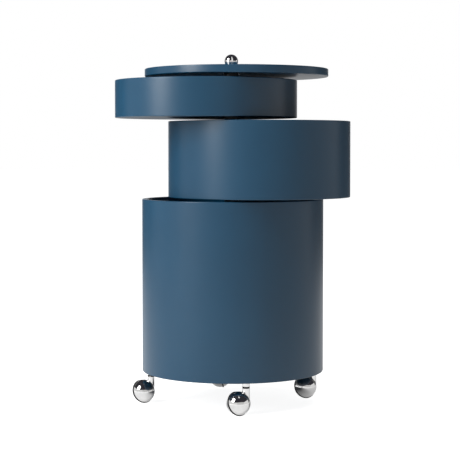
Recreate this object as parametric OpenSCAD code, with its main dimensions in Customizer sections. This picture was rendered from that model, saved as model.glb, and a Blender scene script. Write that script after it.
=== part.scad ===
// Round bar cabinet on four ball casters, in millimetres, +Z up.
// Three open drums and a lid are threaded on one axle, which stands near the front rim
// (towards -Y). The middle drum, the upper drum and the lid swing out round it.
// The origin is on the floor, on the axis of the base drum.

/* [Drums] */
// Outer radius of the three drums
drum_r = 190; // [170:1:240]
// Thickness of the drum walls
wall_t = 10; // [8:0.5:14]
// Height of the base drum's underside above the floor
underside_h = 65; // [62:1:90]
// Height of the base drum
base_h = 360; // [200:1:500]
// Height of the middle drum
middle_h = 158; // [100:1:260]
// Height of the upper drum
upper_h = 78; // [60:1:160]
// Thickness of the base drum's floor
base_floor_t = 18; // [16:0.5:26]
// Thickness of the floors of the two drums that swing
drum_floor_t = 12; // [8:0.5:20]
// Depth of the rebate in a wall that its floor sits in
rebate_d = 4; // [2:0.5:6]
// Radius of the eased edges at the rims
rim_round = 1.6; // [0.5:0.1:3]

/* [Lid] */
// How far the lid stands out past the drums
lid_overhang = 2; // [0:0.5:5]
// Thickness of the lid
lid_t = 16; // [12:0.5:30]
// Radius of the eased edges of the lid
lid_round = 2; // [0.5:0.1:4]

/* [Gaps between the sections] */
// Gap over the base drum
base_gap = 4; // [2:0.5:10]
// Gap over the middle drum
middle_gap = 7; // [2:0.5:14]
// Gap over the upper drum
upper_gap = 8; // [2:0.5:14]

/* [How far the sections stand swung out] */
// Turn of the middle drum round the axle, in degrees
middle_turn = -20.3; // [-180:0.1:180]
// Turn of the upper drum round the axle, in degrees
upper_turn = 20.3; // [-180:0.1:180]
// Turn of the lid round the axle, in degrees
lid_turn = -2.8; // [-180:0.1:180]

/* [Axle and hubs] */
// Gap between the round ends of the hub plates and the drum walls
hub_margin = 2; // [1:0.5:20]
// Radius of the axle
axle_r = 8; // [6:0.5:9]
// Outer radius of the sleeves, the column and the spacers round the axle
sleeve_r = 14; // [13:0.5:16]
// Wall of the bushes that run on the axle
bush_t = 1.5; // [1:0.1:2]
// Length of each bush
bush_l = 22; // [10:1:30]
// Radius of the ball knob on top of the axle
knob_r = 13.5; // [12:0.1:13.9]
// Height of the knob's centre above its flat foot
knob_lift = 7; // [5:0.1:9]
// Radius of the threaded ends of the axle
thread_r = 4; // [3:0.5:5]
// Length of the thread that holds the knob
knob_thread_l = 9; // [6:0.5:12]

/* [Hub plates] */
// Thickness of the plates that hold the sleeves to the floors
plate_t = 4; // [2:0.5:6]
// Radius of the round ends of a plate
plate_r = 18; // [17.5:0.5:19]
// Length of a plate, from the axle to its far end's centre
plate_l = 48; // [44:1:80]
// Half the distance between the two rows of screws
screw_row = 10; // [8:0.5:11]
// Distance from the axle to the nearer screws
screw_near = 24; // [23:0.5:27]
// Distance from the axle to the farther screws
screw_far = 52; // [36:1:54]
// Radius of the screws
screw_r = 2; // [1.5:0.1:2.5]
// Radius of the screw heads
screw_head_r = 3.8; // [3.5:0.1:4.5]
// Height of the screw heads
screw_head_h = 2.2; // [1.5:0.1:3]
// How far the screws bite into the panels
screw_bite = 9; // [5:0.5:10]

/* [Casters] */
// Distance from the casters' stems to the inner face of the wall
caster_inset = 7; // [7:0.5:25]
// Direction of the front caster, in degrees from +X
caster_ring_turn = -80.2; // [-180:0.1:180]
// How far the front, right, back and left casters are turned, in degrees
caster_turns = [40, 25, 100, 38]; // [-180:1:180]
// Radius of the ball's hood
ball_r = 24; // [20:0.5:25]
// How far the tread stands proud of the ball
tread_proud = 1; // [0.8:0.1:2.5]
// Width of the tread
tread_w = 3; // [2.4:0.1:5]
// Tilt of the wheel's axle, in degrees
wheel_tilt = 22; // [15:1:25]
// Trail, from the swivel axis to the ball's centre
trail = 16; // [8:0.5:16]
// How far the swivel axis lies to the hood's side of the ball's centre
hood_shift = 4.5; // [2:0.5:5]
// Radius of the neck, the collar and the swivel washer
neck_r = 7.35; // [6:0.05:9]
// Height of the socket's collar under the drum
collar_h = 8; // [4:0.5:10]
// Thickness of the swivel washer
swivel_washer_t = 2.9; // [1:0.1:4]
// Radius of the spindle
spindle_r = 4; // [3:0.1:4.5]
// Depth of the spindle in the neck
spindle_seat = 7; // [5:0.5:8]
// Wall of the caster socket
socket_t = 1.5; // [1:0.1:2]
// Radius of the wheel's axle pin
pin_r = 3; // [2:0.1:5]
// Depth of the axle pin in the hood
pin_in_hood = 17; // [10:0.5:18]
// Depth of the axle pin in the wheel
pin_in_wheel = 14; // [10:0.5:16]

/* [Clearances] */
// Radial clearance of what turns on the axle, a spindle or a pin
run_fit = 0.08; // [0.05:0.01:0.1]
// Gap between two faces that slide past each other
slide_gap = 0.1; // [0.05:0.01:0.3]
// Gap round a piece that is glued, pressed or screwed in
seat_gap = 0.05; // [0.02:0.01:0.1]
// Gap between the hood and the wheel
seam_gap = 0.8; // [0.4:0.1:1.5]

/* [Hidden] */
$fn = 96;
// Sides of a small round piece
small_fn = 48;
// How far a cut runs past the piece that it cuts
overrun = 1;
// Radius of the lower nut's washer, and its thickness
nut_washer_r = 10;
nut_washer_t = 2;
// Width across the nut's corners, halved, and its height
nut_r = 8;
nut_h = 6.5;
// How far the nut stays above the base drum's underside
nut_sink = 0.5;
// Depth and half-width of the hexagon socket in a screw head
screw_socket_d = 1.2;
screw_socket_r = 1.6;
// Thickness of the plate on the lid's hub
lid_flange_t = 3;
// How much smaller the wheel's half ball is than the hood
wheel_inset = 0.5;
// How far a spindle stays below the top of the base floor
spindle_short = 1;
// Width of the wheel's lip between the seam and the tread
tread_lip = 0.3;
// Steps in a quarter of an eased edge
round_steps = 4;

casters = ["front", "right", "back", "left"];
quarter = 360 / len(casters);
right_angle = 90;

// Levels of the sections
base_z = underside_h;
base_top_z = base_z + base_h;
middle_z = base_top_z + base_gap;
middle_top_z = middle_z + middle_h;
upper_z = middle_top_z + middle_gap;
upper_top_z = upper_z + upper_h;
lid_z = upper_top_z + upper_gap;
lid_top_z = lid_z + lid_t;

// The axle's shoulder stands on the base floor, and its top just clears the lid
axle_foot_z = base_z + base_floor_t;
axle_top_z = lid_top_z + slide_gap;
nut_z = base_z + nut_sink;
nut_washer_z = nut_z + nut_h;
nut_pocket_r = nut_washer_r + overrun;

inner_r = drum_r - wall_t;
floor_r = inner_r + rebate_d;
lid_r = drum_r + lid_overhang;
axle_reach = inner_r - plate_r - hub_margin;
caster_ring_r = inner_r - caster_inset;
bore_r = axle_r + run_fit;
bush_r = bore_r + bush_t;
sleeve_bore_r = bush_r + seat_gap;

// Casters: the tread's bead is the lowest line of the wheel, and stands on the floor
wheel_r = ball_r - wheel_inset;
bead_r = tread_w / 2;
bead_ring_r = ball_r + tread_proud - bead_r;
tread_inner_r = bead_ring_r - bead_r;
tread_z = seam_gap / 2 + tread_lip;
tread_mid_z = tread_z + bead_r;
ball_z = bead_ring_r * cos(wheel_tilt) + tread_mid_z * sin(wheel_tilt) + bead_r;
collar_z = underside_h - collar_h;
washer_z = collar_z - slide_gap - swivel_washer_t;
spindle_z = washer_z - spindle_seat;
spindle_top_z = base_z + base_floor_t - spindle_short;
socket_r = spindle_r + run_fit + socket_t;

// Points of a quarter round about a centre, starting at a given angle
function quarter_round(centre, r, from) = [
    for (i = [0 : round_steps])
        let (a = from + right_angle * i / round_steps)
        centre + r * [cos(a), sin(a)]
];

// Outline of an upright band between two radii, with all four edges eased
function eased_band(x0, x1, h, r) = concat(
    quarter_round([x0 + r, r], r, 2 * right_angle),
    quarter_round([x1 - r, r], r, 3 * right_angle),
    quarter_round([x1 - r, h - r], r, 0),
    quarter_round([x0 + r, h - r], r, right_angle)
);

// Outline of a round slab with its outer edges eased
function eased_slab(r1, h, r) = concat(
    [[0, 0]],
    quarter_round([r1 - r, r], r, 3 * right_angle),
    quarter_round([r1 - r, h - r], r, 0),
    [[0, h]]
);

// Puts its children where the axle is
module at_axle(z = 0) {
    translate([0, -axle_reach, z]) children();
}

// Swings its children round the axle
module swung(turn) {
    at_axle() rotate([0, 0, turn]) translate([0, axle_reach, 0]) children();
}

// Tube on the axle's line
module axle_tube(z, h, r, bore) {
    at_axle(z) difference() {
        cylinder(r = r, h = h, $fn = small_fn);
        translate([0, 0, -overrun]) cylinder(r = bore, h = h + 2 * overrun, $fn = small_fn);
    }
}

// Wall of a drum, with the rebate for its floor at the bottom
module drum_wall(z, h, floor_t) {
    color("#2d5168") translate([0, 0, z]) difference() {
        rotate_extrude() polygon(eased_band(inner_r, drum_r, h, rim_round));
        translate([0, 0, -overrun])
            cylinder(r = floor_r + seat_gap, h = floor_t + seat_gap + overrun);
    }
}

// Floor of a drum that swings, bored for its sleeve and drilled for the plate's screws
module drum_floor(z) {
    color("#2a4558") translate([0, 0, z]) difference() {
        cylinder(r = floor_r, h = drum_floor_t);
        at_axle(-overrun) cylinder(r = sleeve_r + seat_gap, h = drum_floor_t + 2 * overrun, $fn = small_fn);
        screw_holes(drum_floor_t);
    }
}

// Places of the four screws that hold a hub plate
module at_screws() {
    for (x = [-screw_row, screw_row], y = [screw_near, screw_far])
        translate([x, y - axle_reach, 0]) children();
}

// Pilot holes down from a level
module screw_holes(z) {
    at_screws() translate([0, 0, z - screw_bite - overrun])
        cylinder(r = screw_r + seat_gap, h = screw_bite + 2 * overrun, $fn = small_fn);
}

// Screws whose heads stand on a level; a negative side turns them over
module plate_screws(z, side = 1) {
    color("silver") at_screws() translate([0, 0, z]) mirror([0, 0, side < 0 ? 1 : 0]) difference() {
        union() {
            cylinder(r = screw_head_r, h = screw_head_h, $fn = small_fn);
            translate([0, 0, -plate_t - screw_bite])
                cylinder(r = screw_r, h = plate_t + screw_bite + screw_head_h / 2, $fn = small_fn);
        }
        translate([0, 0, screw_head_h - screw_socket_d])
            cylinder(r = screw_socket_r, h = screw_socket_d + overrun, $fn = 6);
    }
}

// Long plate with round ends, bored for a tube at the axle and drilled for its screws
module hub_plate(z, t, bore) {
    color("gray") difference() {
        at_axle(z) union() {
            cylinder(r = plate_r, h = t, $fn = small_fn);
            translate([-plate_r, 0, 0]) cube([2 * plate_r, plate_l, t]);
            translate([0, plate_l, 0]) cylinder(r = plate_r, h = t, $fn = small_fn);
        }
        at_axle(z - overrun) cylinder(r = bore, h = t + 2 * overrun, $fn = small_fn);
        at_screws() translate([0, 0, z - overrun])
            cylinder(r = screw_r + seat_gap, h = t + 2 * overrun, $fn = small_fn);
    }
}

// Sleeve of a drum, with seats for a bush at each end
module drum_sleeve(z, h) {
    color("dimgray") axle_tube(z, h, sleeve_r, sleeve_bore_r);
}

// Bushes at both ends of a sleeve
module sleeve_bushes(z, h) {
    color("ivory") for (low = [z, z + h - bush_l]) axle_tube(low, bush_l, bush_r, bore_r);
}

// Spacer ring between two sections
module spacer(z, gap) {
    color("#151515") axle_tube(z + slide_gap, gap - 2 * slide_gap, sleeve_r, bore_r);
}

module base_floor() {
    color("#2a4558") difference() {
        translate([0, 0, base_z]) cylinder(r = floor_r, h = base_floor_t);
        at_axle(base_z - overrun)
            cylinder(r = thread_r + seat_gap, h = base_floor_t + 2 * overrun, $fn = small_fn);
        at_axle(base_z - overrun)
            cylinder(r = nut_pocket_r, h = nut_washer_z + nut_washer_t - base_z + overrun, $fn = small_fn);
        screw_holes(base_z + base_floor_t);
        for (i = [0 : len(casters) - 1]) at_stem(i) translate([0, 0, base_z - overrun])
            cylinder(r = socket_r + seat_gap, h = base_floor_t + 2 * overrun, $fn = small_fn);
    }
}

module base_column() {
    color("dimgray") axle_tube(axle_foot_z, base_top_z - axle_foot_z, sleeve_r, bore_r);
}

module axle_rod() {
    color("silver") at_axle() union() {
        translate([0, 0, nut_z]) cylinder(r = thread_r, h = axle_foot_z - nut_z, $fn = small_fn);
        translate([0, 0, axle_foot_z]) cylinder(r = axle_r, h = axle_top_z - axle_foot_z, $fn = small_fn);
        translate([0, 0, axle_top_z]) cylinder(r = thread_r, h = knob_thread_l, $fn = small_fn);
    }
}

module axle_washer() {
    color("silver") axle_tube(nut_washer_z, nut_washer_t, nut_washer_r, thread_r + seat_gap);
}

module axle_nut() {
    color("silver") at_axle(nut_z) difference() {
        cylinder(r = nut_r, h = nut_h, $fn = 6);
        translate([0, 0, -overrun])
            cylinder(r = thread_r + seat_gap, h = nut_h + 2 * overrun, $fn = small_fn);
    }
}

// Ball with a flat foot, which screws onto the axle
module knob() {
    color("whitesmoke") at_axle(axle_top_z) difference() {
        translate([0, 0, knob_lift]) sphere(r = knob_r);
        translate([-knob_r, -knob_r, -knob_r]) cube([2 * knob_r, 2 * knob_r, knob_r]);
        translate([0, 0, -overrun])
            cylinder(r = thread_r + seat_gap, h = knob_thread_l + 2 * overrun, $fn = small_fn);
    }
}

// The lid's underside is let in for the hub's plate
module lid_panel() {
    color("#2d5168") difference() {
        translate([0, 0, lid_z]) rotate_extrude() polygon(eased_slab(lid_r, lid_t, lid_round));
        at_axle(lid_z - overrun) cylinder(r = sleeve_r + seat_gap, h = lid_t + 2 * overrun, $fn = small_fn);
        at_axle(lid_z - overrun) union() {
            cylinder(r = plate_r + seat_gap, h = lid_flange_t + seat_gap + overrun, $fn = small_fn);
            translate([-plate_r - seat_gap, 0, 0])
                cube([2 * (plate_r + seat_gap), plate_l, lid_flange_t + seat_gap + overrun]);
            translate([0, plate_l, 0])
                cylinder(r = plate_r + seat_gap, h = lid_flange_t + seat_gap + overrun, $fn = small_fn);
        }
        at_screws() translate([0, 0, lid_z])
            cylinder(r = screw_r + seat_gap, h = plate_t + screw_bite + overrun, $fn = small_fn);
    }
}

// Tube through the lid with its plate, in one piece
module lid_hub() {
    color("gray") union() {
        hub_plate(lid_z, lid_flange_t, sleeve_bore_r);
        axle_tube(lid_z, lid_t, sleeve_r, sleeve_bore_r);
    }
}

module lid_bush() {
    color("ivory") axle_tube(lid_z, lid_t, bush_r, bore_r);
}

// Puts its children on the swivel axis of a caster, turned as the caster stands
module at_stem(i) {
    rotate([0, 0, caster_ring_turn + quarter * i]) translate([caster_ring_r, 0, 0])
        rotate([0, 0, caster_turns[i] - caster_ring_turn - quarter * i]) children();
}

// Frame of a caster's ball: its centre, with Z along the wheel's axle, towards the wheel
module in_ball(i) {
    at_stem(i) translate([-trail, hood_shift, ball_z]) rotate([-right_angle - wheel_tilt, 0, 0]) children();
}

// Round piece on a swivel axis
module stem_round(i, z, h, r, bore = 0) {
    at_stem(i) translate([0, 0, z]) difference() {
        cylinder(r = r, h = h, $fn = small_fn);
        if (bore > 0) translate([0, 0, -overrun]) cylinder(r = bore, h = h + 2 * overrun, $fn = small_fn);
    }
}

// Collar under the drum and tube through its floor, for each spindle
module caster_sockets() {
    color("silver") for (i = [0 : len(casters) - 1]) difference() {
        union() {
            stem_round(i, collar_z, collar_h, neck_r);
            stem_round(i, base_z, base_floor_t, socket_r);
        }
        stem_round(i, collar_z - overrun, collar_h + base_floor_t + 2 * overrun, spindle_r + run_fit);
    }
}

// Half ball over the wheel, in one piece with the neck
module caster_hood(i) {
    color("whitesmoke") difference() {
        union() {
            in_ball(i) sphere(r = ball_r);
            stem_round(i, ball_z, washer_z - ball_z, neck_r);
        }
        in_ball(i) translate([-2 * ball_r, -2 * ball_r, -seam_gap / 2])
            cube([4 * ball_r, 4 * ball_r, 2 * ball_r]);
        stem_round(i, spindle_z, spindle_seat + overrun, spindle_r + seat_gap);
        in_ball(i) translate([0, 0, -pin_in_hood])
            cylinder(r = pin_r + seat_gap, h = pin_in_hood + overrun, $fn = small_fn);
    }
}

module caster_spindle(i) {
    color("silver") stem_round(i, spindle_z, spindle_top_z - spindle_z, spindle_r);
}

module caster_washer(i) {
    color("#202020") stem_round(i, washer_z, swivel_washer_t, neck_r, spindle_r + seat_gap);
}

module caster_pin(i) {
    color("silver") in_ball(i) translate([0, 0, -pin_in_hood])
        cylinder(r = pin_r, h = pin_in_hood + pin_in_wheel - slide_gap, $fn = small_fn);
}

// The other half of the ball, bored for the pin, with a seat for the tread round its rim
module caster_wheel(i) {
    color("whitesmoke") in_ball(i) difference() {
        sphere(r = wheel_r);
        translate([-wheel_r, -wheel_r, seam_gap / 2 - 2 * wheel_r])
            cube([2 * wheel_r, 2 * wheel_r, 2 * wheel_r]);
        cylinder(r = pin_r + run_fit, h = pin_in_wheel, $fn = small_fn);
        translate([0, 0, tread_z]) difference() {
            cylinder(r = ball_r + overrun, h = tread_w);
            translate([0, 0, -overrun]) cylinder(r = tread_inner_r - seat_gap, h = tread_w + 2 * overrun);
        }
    }
}

// Tread with a round bead
module caster_tread(i) {
    color("#151515") in_ball(i) translate([0, 0, tread_mid_z]) union() {
        difference() {
            translate([0, 0, -bead_r]) cylinder(r = bead_ring_r, h = tread_w);
            translate([0, 0, -bead_r - overrun]) cylinder(r = tread_inner_r, h = tread_w + 2 * overrun);
        }
        rotate_extrude() translate([bead_ring_r, 0]) circle(r = bead_r, $fn = small_fn);
    }
}

drum_wall(base_z, base_h, base_floor_t);  // base_wall
base_floor();
base_column();
hub_plate(axle_foot_z, plate_t, sleeve_r + seat_gap);  // column_plate
plate_screws(axle_foot_z + plate_t);  // column_screws
axle_rod();
axle_washer();
axle_nut();
caster_sockets();
spacer(base_top_z, base_gap);  // low_spacer
spacer(middle_top_z, middle_gap);  // mid_spacer
spacer(upper_top_z, upper_gap);  // top_spacer
knob();
swung(middle_turn) drum_wall(middle_z, middle_h, drum_floor_t);  // middle_wall
swung(middle_turn) drum_floor(middle_z);  // middle_floor
swung(middle_turn) drum_sleeve(middle_z, middle_h);  // middle_sleeve
swung(middle_turn) hub_plate(middle_z + drum_floor_t, plate_t, sleeve_r + seat_gap);  // middle_plate
swung(middle_turn) plate_screws(middle_z + drum_floor_t + plate_t);  // middle_screws
swung(middle_turn) sleeve_bushes(middle_z, middle_h);  // middle_bushes
swung(upper_turn) drum_wall(upper_z, upper_h, drum_floor_t);  // upper_wall
swung(upper_turn) drum_floor(upper_z);  // upper_floor
swung(upper_turn) drum_sleeve(upper_z, upper_h);  // upper_sleeve
swung(upper_turn) hub_plate(upper_z + drum_floor_t, plate_t, sleeve_r + seat_gap);  // upper_plate
swung(upper_turn) plate_screws(upper_z + drum_floor_t + plate_t);  // upper_screws
swung(upper_turn) sleeve_bushes(upper_z, upper_h);  // upper_bushes
swung(lid_turn) lid_panel();
swung(lid_turn) lid_hub();
swung(lid_turn) lid_bush();
swung(lid_turn) plate_screws(lid_z, -1);  // lid_screws
caster_hood(0);  // front_hood
caster_spindle(0);  // front_spindle
caster_washer(0);  // front_swivel_washer
caster_pin(0);  // front_pin
caster_wheel(0);  // front_wheel
caster_tread(0);  // front_tread
caster_hood(1);  // right_hood
caster_spindle(1);  // right_spindle
caster_washer(1);  // right_swivel_washer
caster_pin(1);  // right_pin
caster_wheel(1);  // right_wheel
caster_tread(1);  // right_tread
caster_hood(2);  // back_hood
caster_spindle(2);  // back_spindle
caster_washer(2);  // back_swivel_washer
caster_pin(2);  // back_pin
caster_wheel(2);  // back_wheel
caster_tread(2);  // back_tread
caster_hood(3);  // left_hood
caster_spindle(3);  // left_spindle
caster_washer(3);  // left_swivel_washer
caster_pin(3);  // left_pin
caster_wheel(3);  // left_wheel
caster_tread(3);  // left_tread
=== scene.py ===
"""Dresses the round bar cabinet on ball casters, and sets it in a plain studio.

Every size is in millimetres, and every mesh in metres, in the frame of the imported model: the origin
is on the floor, on the axis of the base drum, and the axle stands near the front rim, towards -Y.
Two places nearer than CLOSE are the same place, and a cutting tool stands OVER past what it cuts.
A fixed piece has SEAT of room in its hole, and a piece that turns has SLIDE of room at its ends.
"""

import logging
import math
from collections.abc import Callable, Sequence
from dataclasses import dataclass, field
from enum import Enum

import bmesh
import bpy
from mathutils import Matrix, Vector


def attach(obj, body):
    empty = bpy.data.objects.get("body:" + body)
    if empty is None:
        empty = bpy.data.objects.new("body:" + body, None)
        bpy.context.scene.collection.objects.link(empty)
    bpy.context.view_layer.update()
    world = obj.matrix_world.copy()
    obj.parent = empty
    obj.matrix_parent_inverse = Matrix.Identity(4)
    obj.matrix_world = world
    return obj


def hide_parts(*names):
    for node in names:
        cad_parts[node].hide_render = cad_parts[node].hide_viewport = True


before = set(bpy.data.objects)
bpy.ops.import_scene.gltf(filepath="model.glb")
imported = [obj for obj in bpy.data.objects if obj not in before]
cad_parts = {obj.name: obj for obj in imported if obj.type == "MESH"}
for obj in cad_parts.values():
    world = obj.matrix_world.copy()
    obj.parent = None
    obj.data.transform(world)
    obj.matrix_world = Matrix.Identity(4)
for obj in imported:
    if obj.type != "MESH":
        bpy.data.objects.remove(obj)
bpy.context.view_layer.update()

MM = 0.001
ORIGIN = Vector((0.0, 0.0, 0.0))
AXLE = Vector((0.0, -160.0, 0.0))
CLOSE = 0.002
OVER = 1.0
SEAT = 0.05
SLIDE = 0.1
RIM_SIDES = 192
LARGE_SIDES = 128
ROUND_SIDES = 96
SMALL_SIDES = 64
BORE_SIDES = 48
DRILL_SIDES = 32
HEX_SIDES = 6
EDGE_STEPS = 2
ROUND_STEPS = 3
UP = Vector((0.0, 0.0, 1.0))
DOWN = Vector((0.0, 0.0, -1.0))
WHITE = (1.0, 1.0, 1.0, 1.0)
BLACK = (0.0, 0.0, 0.0, 1.0)
LOG = logging.getLogger("cabinet")
Colour = tuple[float, float, float]


class Slot(Enum):
    """Material slots of the record that the pieces take their finish from."""

    LACQUER = "lacquer"
    INNER_LACQUER = "inner_lacquer"
    CHROME = "chrome"
    ZINC_STEEL = "zinc_steel"
    AXLE_STEEL = "axle_steel"
    BLACK_STEEL = "black_steel"
    LID_METAL = "lid_metal"
    BLACK_NYLON = "black_nylon"
    WHITE_NYLON = "white_nylon"
    TREAD_RUBBER = "tread_rubber"


class Pick(Enum):
    """Kinds of mesh parts that can be picked in edit mode."""

    VERTS = "VERT"
    EDGES = "EDGE"
    FACES = "FACE"


class Body(Enum):
    """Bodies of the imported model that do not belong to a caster."""

    CABINET = "cabinet"
    MIDDLE = "middle_drum"
    UPPER = "upper_drum"
    LID = "lid"


# Finishes


@dataclass(frozen=True)
class Grain:
    """Texture over a piece, of noise or of crystals, with the stretch of its values that counts."""

    cells: float
    detail: float = 4.0
    rough: float = 0.5
    stretch: tuple[float, float, float] = (1.0, 1.0, 1.0)
    crystals: bool = False
    used: tuple[float, float] = (0.3, 0.7)

    @classmethod
    def fine(cls, size: float, detail: float, rough: float = 0.5) -> "Grain":
        """Makes noise from the size of its cells in millimetres, instead of their number per metre."""
        return cls(1.0 / (size * MM), detail, rough)


CLOUDS = Grain(9.0)
STAINS = Grain(70.0)
PATCHES = Grain(90.0, used=(0.4, 0.75))
WIPES = Grain(180.0, 3.0)
SMUDGES = Grain(120.0, 3.0)
POLISH = Grain(900.0, 4.0, 0.6, (1.0, 1.0, 0.25))
RIPPLES = Grain(60.0, 2.0)
CRYSTALS = Grain(700.0, crystals=True, used=(0.1, 0.8))
WEATHER = Grain(260.0)
FROST = Grain(1500.0, 2.0)


class Graph:
    """Node graph of one material, read at Object coordinates."""

    def __init__(self, name: str) -> None:
        """Starts a material with an empty Principled shader.

        Args:
            name: Name of the material.
        """
        self.material = bpy.data.materials.new(name)
        self.material.use_nodes = True
        self.tree = self.material.node_tree
        self.shader = self.tree.nodes["Principled BSDF"]
        self.place = self.tree.nodes.new("ShaderNodeTexCoord").outputs["Object"]

    def node(self, kind: str, **inputs: float | Sequence[float]) -> bpy.types.Node:
        """Adds a node and sets its inputs.

        Args:
            kind: Blender's type name of the node.
            **inputs: Values by input name, with underscores for spaces.

        Returns:
            The new node.
        """
        made = self.tree.nodes.new(kind)
        for key, value in inputs.items():
            made.inputs[key.replace("_", " ")].default_value = value
        return made

    def link(self, out: bpy.types.NodeSocket, into: bpy.types.NodeSocket) -> None:
        """Links an output to an input."""
        self.tree.links.new(out, into)

    def texture(self, grain: Grain) -> bpy.types.NodeSocket:
        """Adds a texture over the piece.

        Args:
            grain: The texture.

        Returns:
            The factor output.
        """
        mapping = self.node("ShaderNodeMapping", Scale=grain.stretch)
        self.link(self.place, mapping.inputs["Vector"])
        if grain.crystals:
            made = self.node("ShaderNodeTexVoronoi", Scale=grain.cells)
        else:
            made = self.node("ShaderNodeTexNoise", Scale=grain.cells, Detail=grain.detail,
                             Roughness=grain.rough)
        self.link(mapping.outputs["Vector"], made.inputs["Vector"])
        return made.outputs["Distance" if grain.crystals else "Fac"]

    def spread(self, factor: bpy.types.NodeSocket, low: float, high: float, start: float,
               end: float, smooth: bool = False) -> bpy.types.NodeSocket:
        """Maps a factor to a range of values.

        Args:
            factor: Value to map.
            low: Result at the start.
            high: Result at the end.
            start: Factor that gives low.
            end: Factor that gives high.
            smooth: Whether the range starts and ends gently.

        Returns:
            The mapped value.
        """
        made = self.node("ShaderNodeMapRange")
        made.interpolation_type = "SMOOTHSTEP" if smooth else "LINEAR"
        for key, value in (("From Min", start), ("From Max", end), ("To Min", low), ("To Max", high)):
            made.inputs[key].default_value = value
        self.link(factor, made.inputs["Value"])
        return made.outputs["Result"]

    def colour(self, grain: Grain, first: Sequence[float], second: Sequence[float]) -> None:
        """Colours the surface with a mix of two colours.

        Args:
            grain: Texture that they follow.
            first: Linear colour at the texture's low values.
            second: Linear colour at its high values.
        """
        made = self.node("ShaderNodeMix")
        made.data_type = "RGBA"
        made.inputs["A"].default_value = (*first, 1.0)
        made.inputs["B"].default_value = (*second, 1.0)
        self.link(self.spread(self.texture(grain), 0.0, 1.0, *grain.used), made.inputs["Factor"])
        self.link(made.outputs["Result"], self.shader.inputs["Base Color"])

    def roughen(self, grain: Grain, gloss: tuple[float, float]) -> None:
        """Makes the roughness wander between two values, along a texture."""
        wander = self.spread(self.texture(grain), *gloss, *grain.used)
        self.link(wander, self.shader.inputs["Roughness"])

    def relieve(self, grain: Grain, depth: float) -> None:
        """Gives the surface a fine relief.

        Args:
            grain: Texture of its height.
            depth: Depth in millimetres.
        """
        made = self.node("ShaderNodeBump", Strength=1.0, Distance=depth * MM)
        self.link(self.texture(grain), made.inputs["Height"])
        self.link(made.outputs["Normal"], self.shader.inputs["Normal"])

    def set(self, **values: float | Sequence[float]) -> None:
        """Sets constant values on the shader's own sockets."""
        for key, value in values.items():
            self.shader.inputs[key.replace("_", " ")].default_value = value


@dataclass(frozen=True)
class Finish:
    """Skin of a slot: clouds between two colours, a gloss that wanders along marks, and a relief."""

    name: str
    colour: Colour
    worn: Colour
    clouds: Grain
    gloss: tuple[float, float]
    marks: Grain | None
    relief: Grain
    depth: float
    metallic: float = 0.0
    specular: float = 0.5

    @classmethod
    def lacquer(cls, name: str, colour: Colour, worn: Colour, gloss: float, specular: float,
                peel: float, size: float) -> "Finish":
        """Sprayed satin lacquer: slight clouds of colour and a fine orange peel."""
        return cls(name, colour, worn, CLOUDS, (gloss, gloss), None, Grain.fine(size, 2.0), peel,
                   specular=specular)

    @classmethod
    def metal(cls, name: str, colour: Colour, dulling: float, clouds: Grain,
              gloss: tuple[float, float], marks: Grain, relief: Grain, depth: float) -> "Finish":
        """Bare or plated metal, which is duller where its clouds are."""
        worn = tuple(dulling * part for part in colour)
        return cls(name, colour, worn, clouds, gloss, marks, relief, depth, metallic=1.0)

    @classmethod
    def turned(cls, name: str, colour: Colour, gloss: tuple[float, float], rings: float,
               depth: float) -> "Finish":
        """Metal turned or drawn on a lathe: fine rings across its length."""
        lines = Grain(1.0, 3.0, 0.6, stretch=(8.0, 8.0, rings))
        return cls.metal(name, colour, 0.8, STAINS, gloss, lines, lines, depth)

    @classmethod
    def moulded(cls, name: str, colour: Colour, worn: Colour, gloss: tuple[float, float],
                depth: float, size: float, specular: float = 0.5) -> "Finish":
        """Moulded nylon, hard rubber or stove enamel: an even, finely grained skin."""
        relief = Grain.fine(size, 3.0, 0.6)
        return cls(name, colour, worn, PATCHES, gloss, WIPES, relief, depth, specular=specular)

    def make(self) -> bpy.types.Material:
        """Builds the material.

        Returns:
            The material.
        """
        graph = Graph(self.name)
        graph.set(Metallic=self.metallic, Specular_IOR_Level=self.specular, Roughness=self.gloss[0])
        graph.colour(self.clouds, self.colour, self.worn)
        if self.marks:
            graph.roughen(self.marks, self.gloss)
        graph.relieve(self.relief, self.depth)
        return graph.material


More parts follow.
